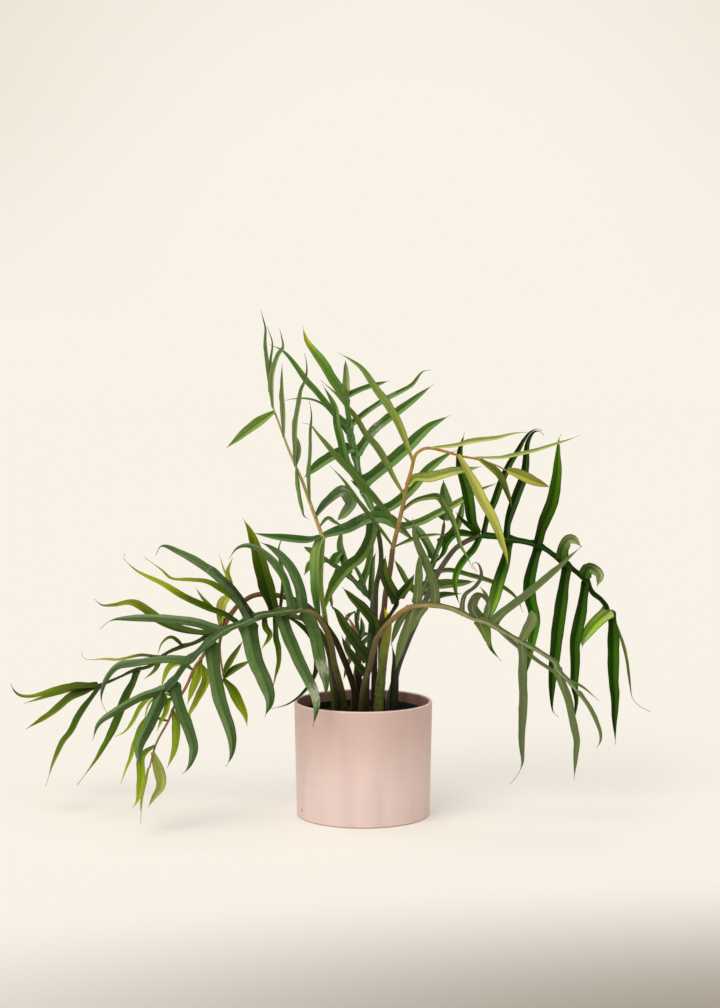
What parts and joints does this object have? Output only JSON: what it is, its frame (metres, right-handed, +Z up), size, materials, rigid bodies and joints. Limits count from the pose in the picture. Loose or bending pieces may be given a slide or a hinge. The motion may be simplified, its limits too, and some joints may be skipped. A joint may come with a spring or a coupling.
{
  "type": "potted fern-leaf philodendron",
  "caption": "House plant with arching fronds of narrow leaflets cut to the rib, growing from soil in a plain pink cylinder pot.",
  "frame": {"origin": "middle of the planter's base, on the surface it stands on", "axes": "+Z up, the plant's front towards -Y, its longest spread along X"},
  "size_m": [0.8733, 0.357, 0.6582],
  "materials": {
    "planter_ceramic": null,
    "nursery_plastic": "moulded dark green plastic",
    "potting_mix": "loose bark and peat",
    "leaf_glaucous": "leathery leaf, satin, bluish bloom",
    "leaf_olive": "leathery leaf, satin, olive",
    "leaf_green": "leathery leaf, satin, deep green",
    "leaf_underside": "leaf underside, matt grey green",
    "petiole_brown": "smooth olive brown stalk",
    "stem_green": "mottled green stem",
    "sheath_dry": "dry papery red brown sheath",
    "sheath_yellow": "soft olive yellow sheath"
  },
  "bodies": {
    "root": {"planter": "planter_ceramic", "nursery_pot": "nursery_plastic", "soil": "potting_mix", "stem": "stem_green", "new_leaf_spear": "petiole_brown", "dry_sheath": "sheath_dry", "yellow_sheath": "sheath_yellow", "frond_left_front_petiole": "petiole_brown", "frond_left_front_blade": "leaf_glaucous", "frond_left_behind_petiole": "petiole_brown", "frond_left_behind_blade": "leaf_olive", "frond_left_low_petiole": "petiole_brown", "frond_left_low_blade": "leaf_olive", "frond_top_left_petiole": "petiole_brown", "frond_top_left_blade": "leaf_glaucous", "frond_centre_rear_petiole": "petiole_brown", "frond_centre_rear_blade": "leaf_glaucous", "frond_centre_tan_petiole": "petiole_brown", "frond_centre_tan_blade": "leaf_green", "frond_right_rear_petiole": "petiole_brown", "frond_right_rear_blade": "leaf_green", "frond_right_front_petiole": "petiole_brown", "frond_right_front_blade": "leaf_underside", "frond_centre_short_petiole": "petiole_brown", "frond_centre_short_blade": "leaf_green", "frond_rear_right_petiole": "petiole_brown", "frond_rear_right_blade": "leaf_glaucous", "frond_rear_left_petiole": "petiole_brown", "frond_rear_left_blade": "leaf_glaucous", "frond_rear_low_petiole": "petiole_brown", "frond_rear_low_blade": "leaf_glaucous"}
  },
  "joints": []
}
